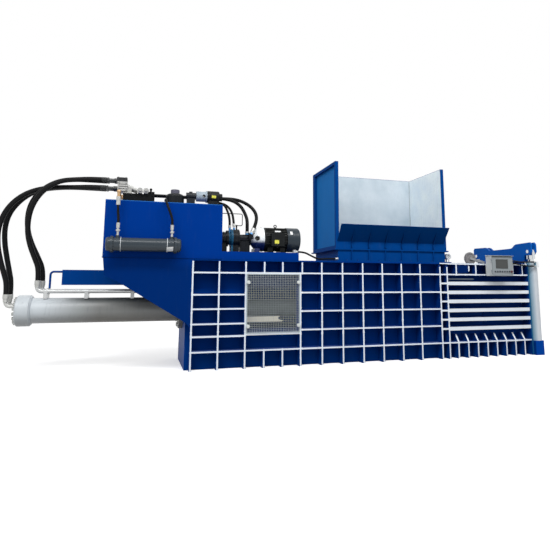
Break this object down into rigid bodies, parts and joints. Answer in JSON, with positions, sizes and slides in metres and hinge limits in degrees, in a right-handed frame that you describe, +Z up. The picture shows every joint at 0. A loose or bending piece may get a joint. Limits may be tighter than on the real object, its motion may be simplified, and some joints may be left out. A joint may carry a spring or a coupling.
{
  "type": "recycling baler",
  "caption": "Horizontal channel baler: ribbed press body with feed hopper, hydraulic ram, oil tank, pump set, bale tension yoke and control box.",
  "frame": {"origin": "underside of the base, midway along the press body's length (rear ribs to end posts) and across its width", "axes": "+X along the machine towards the bale exit, +Y away from the side with the control box, +Z up"},
  "size_m": [8.6451, 1.849, 3.199],
  "materials": {
    "body_blue": "gloss",
    "tank_blue": "gloss",
    "hopper_blue": "gloss",
    "yoke_blue": "gloss",
    "white_paint": "satin",
    "sheet_steel": "satin",
    "bare_steel": "satin",
    "grey_paint": "satin",
    "cylinder_grey": "satin",
    "dark_grey": "satin",
    "motor_black": "satin",
    "pump_black": "satin",
    "box_grey": "satin",
    "screen_dark": "gloss",
    "button_green": "gloss",
    "button_black": "gloss",
    "stop_red": "gloss",
    "chrome": "polished",
    "knife_steel": "satin",
    "fitting_steel": "satin",
    "black_rubber": "matte",
    "mesh_grey": "satin"
  },
  "bodies": {
    "press_frame": {"near_side_frame": "body_blue", "far_side_frame": "body_blue", "near_exit_side": "body_blue", "far_exit_side": "body_blue", "base_frame": "body_blue", "rear_plate": "body_blue", "roof_deck": "body_blue", "shear_knife": "knife_steel", "window_mesh": "mesh_grey", "frame_bolts": "bare_steel", "hopper_shell": "hopper_blue", "hopper_lining": "sheet_steel", "hopper_neck": "hopper_blue", "tank_support": "tank_blue", "oil_tank": "tank_blue", "service_beam": "tank_blue", "oil_cooler": "dark_grey", "main_barrel": "grey_paint", "rear_cap": "grey_paint", "cap_bolts": "bare_steel", "steel_pipes": "bare_steel", "manifold_base": "pump_black", "valve_body": "fitting_steel", "return_filter": "dark_grey", "small_motor": "motor_black", "small_bell": "dark_grey", "motor_platform": "tank_blue", "main_motor": "motor_black", "terminal_box": "motor_black", "fan_cover": "dark_grey", "bell_housing": "white_paint", "hydraulic_pump": "pump_black", "control_box": "box_grey", "tension_tubes": "cylinder_grey", "hose_fittings": "fitting_steel", "pressure_pipes": "pump_black", "cap_hoses": "black_rubber", "pipe_hoses": "black_rubber", "pump_hoses": "black_rubber", "drain_hoses": "black_rubber", "cooler_hoses": "black_rubber", "tension_hoses": "black_rubber", "motor_cable": "black_rubber"},
    "ram_assembly": {"ram": "body_blue", "ram_knife": "knife_steel", "thrust_tube": "grey_paint", "piston_rod": "chrome"},
    "yoke_assembly": {"tension_yoke": "yoke_blue", "tension_rods": "chrome"},
    "top_plate": {"tension_plate": "body_blue"},
    "arm": {"wheel_arm": "bare_steel"},
    "measuring_wheel": {"length_wheel": "bare_steel"},
    "motor_shaft": {"motor_rotor": "bare_steel"},
    "small_shaft": {"small_rotor": "bare_steel"},
    "door": {"control_door": "box_grey", "screen": "screen_dark"},
    "button_1": {"push_button_1": "button_green"},
    "button_2": {"push_button_2": "button_black"},
    "button_3": {"push_button_3": "button_black"},
    "stop": {"stop_button": "stop_red"}
  },
  "joints": [
    {"name": "ram_slide", "type": "slide", "parent": "press_frame", "child": "ram_assembly", "axis": [1, 0, 0], "range_m": [0, 2.09]},
    {"name": "yoke_slide", "type": "slide", "parent": "press_frame", "child": "yoke_assembly", "axis": [0, 0, 1], "range_m": [-0.05, 0]},
    {"name": "top_plate_hinge", "type": "hinge", "parent": "press_frame", "child": "top_plate", "pos_m": [1.573, 0, 1.45], "axis": [0, 1, 0], "range_deg": [0, 2.2]},
    {"name": "arm_swing", "type": "hinge", "parent": "top_plate", "child": "arm", "pos_m": [2.583, 0, 1.6], "axis": [0, -1, 0], "range_deg": [0, 50]},
    {"name": "wheel_spin", "type": "hinge", "parent": "arm", "child": "measuring_wheel", "pos_m": [2.255, 0, 1.678], "axis": [0, 1, 0], "continuous": true},
    {"name": "motor_spin", "type": "hinge", "parent": "press_frame", "child": "motor_shaft", "pos_m": [-1.822, -0.42, 1.884], "axis": [1, 0, 0], "continuous": true},
    {"name": "small_motor_spin", "type": "hinge", "parent": "press_frame", "child": "small_shaft", "pos_m": [-2.757, -0.35, 2.52], "axis": [1, 0, 0], "continuous": true},
    {"name": "door_hinge", "type": "hinge", "parent": "press_frame", "child": "door", "pos_m": [1.974, -0.956, 1.5], "axis": [0, 0, -1], "range_deg": [0, 110]},
    {"name": "button_1_press", "type": "slide", "parent": "door", "child": "button_1", "axis": [0, 1, 0], "range_m": [0, 0.005], "stiffness_N_per_m": 800},
    {"name": "button_2_press", "type": "slide", "parent": "door", "child": "button_2", "axis": [0, 1, 0], "range_m": [0, 0.005], "stiffness_N_per_m": 800},
    {"name": "button_3_press", "type": "slide", "parent": "door", "child": "button_3", "axis": [0, 1, 0], "range_m": [0, 0.005], "stiffness_N_per_m": 800},
    {"name": "stop_press", "type": "slide", "parent": "door", "child": "stop", "axis": [0, 1, 0], "range_m": [0, 0.005], "stiffness_N_per_m": 800}
  ],
  "couplings": [
    {"joint": "top_plate_hinge", "follows": "yoke_slide", "rad_per_m": -0.699}
  ]
}
